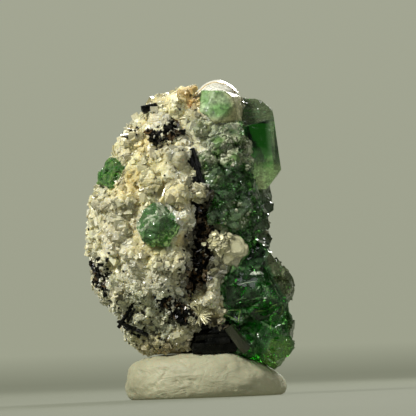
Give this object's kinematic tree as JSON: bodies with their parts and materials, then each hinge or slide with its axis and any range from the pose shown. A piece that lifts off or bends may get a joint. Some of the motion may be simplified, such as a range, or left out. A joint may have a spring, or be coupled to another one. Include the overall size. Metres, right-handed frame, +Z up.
{
  "type": "mineral specimen",
  "caption": "Green fluorite crystals on an upright rock of white feldspar, silvery mica and black tourmaline, stood on a soft pat of beige putty.",
  "frame": {"origin": "middle of the object's footprint, on the plane the putty stands on", "axes": "+Z up; -Y towards the pictured side; +X towards the side covered with fluorite"},
  "size_m": [0.0506, 0.045, 0.0792],
  "materials": {
    "putty": "soft matte beige putty, kneaded",
    "feldspar_rock": "granular cream and white rock",
    "green_fluorite": "clear green crystal, etched faces",
    "pale_fluorite": "milky pale green crystal",
    "silvery_mica": "pearly sheets",
    "black_tourmaline": "glossy black, grooved lengthwise"
  },
  "bodies": {
    "root": {"putty_base": "putty", "matrix_rock": "feldspar_rock", "fluorite_tower": "green_fluorite", "fluorite_druse_side": "green_fluorite", "fluorite_cluster_lower": "green_fluorite", "fluorite_crust_front": "green_fluorite", "fluorite_front": "green_fluorite", "fluorite_left": "green_fluorite", "fluorite_pale_top": "pale_fluorite", "mica_cap": "silvery_mica", "mica_book": "silvery_mica", "mica_bunch": "silvery_mica", "mica_fan": "silvery_mica", "tourmaline_blade": "black_tourmaline", "tourmaline_prism_top": "black_tourmaline", "tourmaline_group_upper": "black_tourmaline", "tourmaline_seam": "black_tourmaline", "tourmaline_base": "black_tourmaline", "tourmaline_group_left": "black_tourmaline", "tourmaline_group_lower": "black_tourmaline", "tourmaline_pair": "black_tourmaline"}
  },
  "joints": []
}
